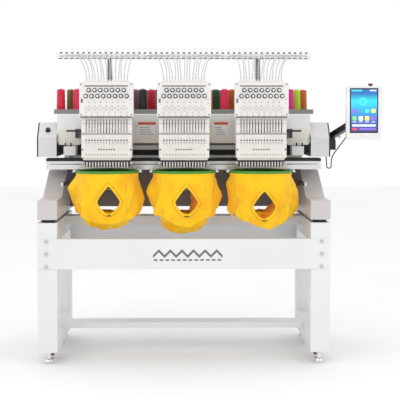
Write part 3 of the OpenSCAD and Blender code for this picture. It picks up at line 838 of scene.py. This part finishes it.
def make_garments():
    """Three hooped garments, shaped in code and not by a cloth simulation."""
    for index, (hx, look) in enumerate(zip(HEADS, GARMENTS)):
        seed = Vector((11.3 * index + 4, 5.7 * index, 2.1))
        shape = Shape()
        points = body_sheet(shape, hx, look, seed)
        sleeve(shape, hx, -1, look["left"], seed)
        sleeve(shape, hx, 1, look["right"], seed * 1.7)
        back_roll(shape, hx, look, seed)
        hoop_top(shape, hx)
        if index == 1:
            lining(shape, hx, look, (-75, 60), (-34, 62, 4))
        elif index == 2:
            lining(shape, hx, look, (-110, 15), (-22, 66, 30))
        cloth = shape.build(f"garment_{index}", None, [FABRIC["yellow"], FABRIC["orange"]],
                            "yellow_fabric")
        collar = make_collar(index, hx, look, points)
        finish_cloth(cloth)
        finish_cloth(collar)
        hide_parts("shirts")


# ---------------------------------------------------------------- heads
def make_tension_parts():
    """Thread tensions in two staggered rows, each with discs, a spring and a knurled nut."""
    shape = Shape()
    for hx in HEADS:
        for i in NEEDLES:
            x = hx + i * NEEDLE_PITCH
            z = 1410 if i % 2 == 0 else 1379
            shape.turned((x, BASE_FACE, z), FORWARD,
                         [(0, 9.6), (1.2, 10.8), (2, 10.8), (2.6, 6), (3.2, 10.8), (4.2, 11.2),
                          (5, 10.4), (5.4, 5.4)], 24, 2)
            shape.turned((x, 52.6, z), FORWARD,
                         [(0, 4.5), (1, 5.6), (2, 4.5), (3, 5.6), (4, 4.5), (5, 5.6), (6, 4.5)], 16, 1)
            shape.turned((x, 46.6, z), FORWARD,
                         [(0, 5.4), (1, 6.4), (5, 6.4), (6, 5.4), (6.4, 3)], 12, 3)
            for dz, r in ((-62, 3.2), (-83, 2.6), (-101, 3.4)):
                shape.turned((x, BASE_FACE, z + dz), FORWARD,
                             [(0, r + 1.2), (1, r + 1.2), (1.6, r - 0.6), (5, r - 0.6), (5.6, r + 0.6),
                              (6.4, r + 0.6), (7, r - 0.8)], 14, 0)
    parts = shape.build("tension_units", "needle_case_body",
                        [METALS["chrome"], METALS["steel"], PLASTICS["black"], PLASTICS["white"]],
                        "steel")
    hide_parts("tension_knobs")


def presser_strip(shape, x):
    """The spring clip and rod of one presser foot."""
    shape.slab((x - 3.4, 106.5, 1018), (x + 3.4, 108, 1038), 1.2)
    shape.slab((x - 2.2, 108, 1011), (x + 2.2, 109.4, 1022), 0.8)


def make_head_details():
    """Trim, marks, studs, guides and presser strips on the three heads."""
    white, black, silver, presser = Shape(), Shape(), Shape(), Shape()
    for hx in HEADS:
        # upper base: tube nipples, slot line, side labels, lamps and corner screws
        black.slab((hx - 112, 57.2, 1428.5), (hx + 112, 60, 1433.5), 1)
        black.slab((hx - 134, 57.4, 1269), (hx + 134, 79, 1274.5), 0)
        for k, tint in enumerate((2, 3, 4)):
            black.slab((hx + 121, 56.6, 1338 + 22 * k), (hx + 129, 58.4, 1342 + 22 * k), 1, tint)
        black.slab((hx - 131, 57, 1344), (hx - 121, 58.4, 1366), 1, 1)
        for sx in (-129, 129):
            for z in (1284, 1440):
                black.turned((hx + sx, BASE_FACE, z), FORWARD, [(0, 3.4), (1.6, 3.4), (2, 2.4)], 14)
        for i in NEEDLES:
            x = hx + i * NEEDLE_PITCH
            white.turned((x, 110, 1458), UP, [(0, 5), (2, 5), (5, 4.2), (9, 3.8)], 14)
            # thread eyes, rows of studs and ticks on the case
            black.turned((x, 69.4, 1151), FORWARD, [(0, 4.6), (0.8, 4.6), (1.2, 3.4)], 14)
            silver.turned((x, 69.4, 1151), FORWARD, [(1.2, 1.8), (4, 1.6), (4.6, 0.8)], 10)
            black.slab((x - 1.2, 71.2, 1131), (x + 1.2, 72.2, 1140), 0.4, 1)
            black.turned((x, CASE_FACE, 1077), FORWARD, [(0, 2.8), (0.8, 2.8), (1, 2)], 10, 1)
        white.slab((hx - 123, 69.4, 1141), (hx + 119, 72.2, 1162), 4)
        black.slab((hx - 126, 71.4, 1142.8), (hx + 122, 72.1, 1144.2), 0.3, 1)
        black.slab((hx - 128, 77.2, 1236), (hx + 128, 78.2, 1237.4), 0.3, 1)
        black.slab((hx - 129, 71.3, 1182.2), (hx + 129, 78.4, 1185.4), 0.3)
        for sx in (-124, 124):
            black.turned((hx + sx, CASE_FACE, 1103), FORWARD, [(0, 4.2), (1.6, 4.2), (2.2, 3)], 16)
        # a plain row of stitch dashes
        for k in range(7):
            black.slab((hx - 44 + k * 13, 71.2, 1100), (hx - 36 + k * 13, 72.2, 1107), 1, 1)
        # lower guides
        silver.slab((hx - 123, 101.6, 1047.5), (hx + 123, 104.4, 1059.5), 1.5)
        black.slab((hx - 123, 101.2, 1038.6), (hx + 123, 104.4, 1047), 1)
        for sx in (-127, 127):
            black.slab((hx + sx - 7, 100, 1026), (hx + sx + 7, 134, 1040), 2, 5)
            silver.turned((hx + sx, 100, 1033), FORWARD, [(0, 3.6), (2, 3.6), (2.6, 2.6)], 12)
        black.slab((hx - 116, 138, 1011), (hx + 116, 140, 1040), 1)
        for i in NEEDLES:
            presser_strip(silver if i else presser, hx + i * NEEDLE_PITCH)
    presser.build("presser_strips", "pressers", [METALS["steel"]], "steel")
    white.build("head_trim", "needle_case_body", [PAINTS["head"]], "head_paint")
    black.build("head_marks", "needle_case_body",
                [PAINTS["ink"], PAINTS["grey_ink"], lit("lamp_blue", (0.25, 0.4, 0.75), 0.3),
                 lit("lamp_red", (0.7, 0.2, 0.15), 0.3), lit("lamp_pale", (0.6, 0.62, 0.7), 0.3),
                 METALS["zinc"]], "black_plastic")
    silver.build("head_fittings", "needle_case_body", [METALS["steel"]], "steel")


def make_needle_threads():
    """One thread per needle, from its take-up lever down over the case to the needle."""
    shape = Shape()
    for hx in HEADS:
        for i in NEEDLES:
            if i == 0:
                continue
            x = hx + i * NEEDLE_PITCH
            shape.tube([(x + 1.8, 66, 1246), (x + 2.2, 66.5, 1200), (x + 1.2, 65.5, 1152)], 0.5, 6)
            shape.tube([(x + 1.2, 65.5, 1152), (x + 0.8, 70.6, 1100), (x + 0.4, 100.6, 1050),
                        (x, 116, 1030), (x, 118.6, 1014)], 0.5, 6)
    shape.build("needle_threads", "needle_case_body",
                [thread("white_thread", (0.75, 0.74, 0.72))], "thread")


# ---------------------------------------------------------------- covers, beam and stand
def make_cover_details():
    """Plain labels with dashes, the throat strip, and the screws of covers and housings."""
    marks, metalwork = Shape(), Shape()
    for gx in (-200, 200):
        half = 47 if gx < 0 else 37
        marks.slab((gx - half, 323.4, 1230), (gx + half, 324.2, 1243), 0, 0)
        marks.slab((gx - half, 323.4, 1170), (gx + half, 324.2, 1225), 1, 1)
        for k in range(4):
            z = 1177 + 12 * k
            marks.slab((gx - half + 7, 323.0, z), (gx + half - 12 - 8 * k, 323.6, z + 3), 0.5, 2)
        for sx in (-56, 56):
            metalwork.turned((gx + sx, 324, 1222), FORWARD, [(0, 4.4), (2, 4.4), (2.8, 3)], 16)
    for side in (-1, 1):
        for x in (602, 632):
            metalwork.turned((side * x, 262, 1131), UP, [(-16, 4), (2, 4), (3, 3)], 14, 1)
        for y, z in ((330, 1120), (330, 1080), (840, 1220), (840, 1080), (600, 1080)):
            metalwork.turned((side * 788, y, z), (side, 0, 0), [(0, 5), (1.8, 5), (2.6, 3.6)], 16)
    marks.slab((-645, 736, 1034), (683, 739.6, 1051), 1, 1)
    marks.build("cover_labels", "machine", [PAINTS["red"], PAINTS["cover"], PAINTS["grey_ink"]],
                "cream_paint")
    metalwork.build("cover_screws", "machine", [METALS["zinc"], PAINTS["black"]], "zinc_steel")


def make_beam_motif():
    """A zigzag stitch above a running stitch on the front panel."""
    shape = Shape()
    left, right, low, high, thick = -160, 196, 558, 588, 15
    peaks = 12
    step = (right - left) / peaks
    for k in range(peaks):
        z0, z1 = (low, high) if k % 2 == 0 else (high, low)
        x0, x1 = left + k * step, left + (k + 1) * step
        face = [(x0, -4.8, z0 - thick / 2), (x1, -4.8, z1 - thick / 2), (x1, -4.8, z1 + thick / 2),
                (x0, -4.8, z0 + thick / 2)]
        back = [(x, -3.9, z) for x, _, z in face]
        shape.add(face + back, [[0, 1, 2, 3], [7, 6, 5, 4], [0, 4, 5, 1], [1, 5, 6, 2], [2, 6, 7, 3],
                                [3, 7, 4, 0]])
        shape.slab((x0 + 4, -4.8, low - 22), (x1 - 6, -3.9, low - 14), 2)
    shape.build("beam_motif", "machine", [PAINTS["grey_ink"]], "stand_paint")


def make_rail_details():
    """A clip, a tube nipple, a holder and a screw for each of the 45 threads."""
    shape = Shape()
    for k in range(THREADS):
        x = (k - THREADS // 2) * RAIL_PITCH
        shape.slab((x - 12, 325.2, 1583), (x + 7, 326.4, 1587), 0.8, 0)
        shape.turned((x, 326, 1598), FORWARD, [(0, 5), (1.5, 5), (4, 3.9), (7, 3.6)], 12, 1)
        shape.slab((x - 6, 329, 1612), (x + 6, 343, 1619), 2, 0)
        shape.turned((x, 329, 1605.5), FORWARD, [(2.6, 1.6), (3.4, 1.6), (3.8, 1)], 10, 2)
    shape.build("rail_clips", "machine", [PLASTICS["black"], PLASTICS["white"], METALS["zinc"]],
                "black_plastic")


def make_cones():
    """Cones of wound thread on plastic cores, in the colours of the machine's rack."""
    colours = {
        "crimson": (0.78, 0.004, 0.045), "black": (0.012, 0.01, 0.01), "olive": (0.16, 0.13, 0.015),
        "brown": (0.045, 0.018, 0.01), "orange": (0.80, 0.18, 0.01), "mauve": (0.20, 0.10, 0.17),
        "green": (0.008, 0.09, 0.02), "pink": (0.90, 0.015, 0.09), "magenta": (0.75, 0.006, 0.24),
        "lime": (0.52, 0.72, 0.012), "rust": (0.55, 0.12, 0.012)}
    rows = (
        ("crimson", "pink", "olive", "black", "crimson", "black", "mauve", "green", "rust", "orange",
         "pink", "lime", "brown", "mauve", "magenta"),
        ("olive", "black", "rust", "green", "mauve", "crimson", "lime", "brown", "pink", "green",
         "rust", "black", "orange", "olive", "lime"),
        ("brown", "orange", "black", "lime", "olive", "brown", "pink", "rust", "olive", "brown",
         "green", "magenta", "black", "crimson", "rust"))
    shapes = {name: Shape() for name in colours}
    cores = Shape()
    for row, names in enumerate(rows):
        y = 470 + CONE_PITCH * row
        for i, name in zip(NEEDLES, names):
            x = i * CONE_PITCH + (row - 1) * CONE_LEAN
            body = [(0, 20), (2, 24)]
            for k in range(13):
                t = k / 12
                body.append((4 + 122 * t, 25 - 3.4 * t + 0.5 * math.sin(k * 2.3)))
            body += [(129, 19), (CONE_TALL, 11)]
            shapes[name].turned((x, y, CONE_FOOT), UP, body, 28)
            cores.turned((x, y, CONE_FOOT + CONE_TALL), UP,
                         [(0, 9.5), (2.5, 9.5), (4, 8.6), (3.9, 6), (0.5, 5)], 20)
    done = [shapes[name].build(f"cones_{name}", "machine",
                               [thread(f"thread_{name}", colour)], "thread")
            for name, colour in colours.items()]
    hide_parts("thread_cones")
    cores.build("cone_cores", "machine", [PLASTICS["white"]], "white_plastic")


def make_tubes():
    """Clear guide tubes, out of the rail and over a quarter turn down into the heads."""
    shape = Shape()
    bend = 140
    for h, hx in enumerate(HEADS):
        for i in NEEDLES:
            start = Vector((hx * 1.125 + i * RAIL_PITCH, 322, 1598))
            end = Vector((hx + i * NEEDLE_PITCH, 110, 1466))
            flat = Vector((end.x - start.x, end.y - start.y, 0))
            along = flat.normalized()
            straight = flat.length - bend
            drop = start.z - end.z
            sway = 5 * math.sin(i * 2.1 + h)
            path = [start, start + along * straight * 0.5]
            for k in range(11):
                a = math.radians(9 * k)
                side = Vector((-along.y, along.x, 0)) * sway * math.sin(2 * a)
                path.append(start + along * (straight + bend * math.sin(a))
                            - Vector((0, 0, drop * (1 - math.cos(a)))) + side)
            shape.tube(path, 2.8, 8)
    tubes = shape.build("guide_tubes", None, [PLASTICS["tube"]], "clear_tube")
    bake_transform(tubes)
    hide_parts("thread_tubes")


def make_panel_details():
    """The screen with plain tiles, its surround, a home mark and the panel's screws."""
    cx, front = 944, 150
    shape = Shape()
    shape.slab((cx - 75, front - 0.5, 1187), (cx + 75, front + 1, 1423), 3, 1)
    shape.slab((cx - 69, front - 0.9, 1195), (cx + 69, front + 1, 1417), 1, 0)
    y0, y1 = front - 1.3, front + 1
    shape.slab((cx - 67, y0, 1406), (cx - 10, y1, 1414), 1, 5)
    shape.slab((cx + 30, y0, 1407), (cx + 64, y1, 1413), 1, 2)
    for k in range(4):
        shape.slab((cx - 62 + 33 * k, y0, 1292), (cx - 38 + 33 * k, y1, 1314), 5, (3, 4, 5, 6)[k])
        shape.slab((cx - 62 + 33 * k, y0, 1252), (cx - 38 + 33 * k, y1, 1276), 5, (7, 2, 6, 3)[k])
        shape.slab((cx - 60 + 33 * k, y0, 1244), (cx - 40 + 33 * k, y1, 1247), 1, 2)
    shape.turned((cx - 6, front - 0.9, 1352), FORWARD, [(0, 22), (0.5, 22), (0.8, 20)], 32, 5)
    shape.turned((cx - 6, front - 1.6, 1352), FORWARD, [(0, 13), (0.3, 13)], 32, 0)
    shape.slab((cx - 62, y0, 1222), (cx + 62, y1, 1232), 2, 2)
    shape.slab((cx - 62, y0, 1202), (cx - 36, y1, 1214), 2, 8)
    shape.slab((cx - 24, y0, 1204), (cx + 62, y1, 1213), 2, 3)
    shape.turned((cx, front, 1171), FORWARD, [(-1, 5.2), (0.4, 5.2), (0.5, 4.4)], 24, 9)
    shape.build("panel_screen", "panel",
                [screen_colours("screen"), PLASTICS["glass"], lit("tile_white", (0.75, 0.8, 0.85)),
                 lit("tile_violet", (0.22, 0.12, 0.6)), lit("tile_blue", (0.05, 0.28, 0.8)),
                 lit("tile_teal", (0.05, 0.55, 0.55)), lit("tile_yellow", (0.8, 0.6, 0.1)),
                 lit("tile_green", (0.15, 0.55, 0.15)), lit("tile_red", (0.7, 0.05, 0.12)),
                 PAINTS["end"]], "white_plastic")
    bolts = Shape()
    for z in (1162, 1180):
        bolts.turned((836 if z > 1170 else 846, 362, z), FORWARD, [(-4, 6), (2, 6), (3, 4.4)], 16)
    bolts.build("arm_bolts", "swivel_arm", [METALS["zinc"]], "zinc_steel")


def make_floor():
    mesh = bpy.data.meshes.new("floor")
    size = 14.0
    mesh.from_pydata([(-size, -size, 0), (size, -size, 0), (size, size, 0), (-size, size, 0)], [],
                     [[0, 1, 2, 3]])
    mesh.materials.append(floor_paint())
    floor = bpy.data.objects.new("floor", mesh)
    bpy.context.collection.objects.link(floor)


make_camera()
make_cable()
make_light()
make_floor()
paint_nodes()
make_hoops()
make_garments()
make_tension_parts()
make_head_details()
make_needle_threads()
make_cover_details()
make_beam_motif()
make_rail_details()
make_cones()
make_tubes()
make_panel_details()
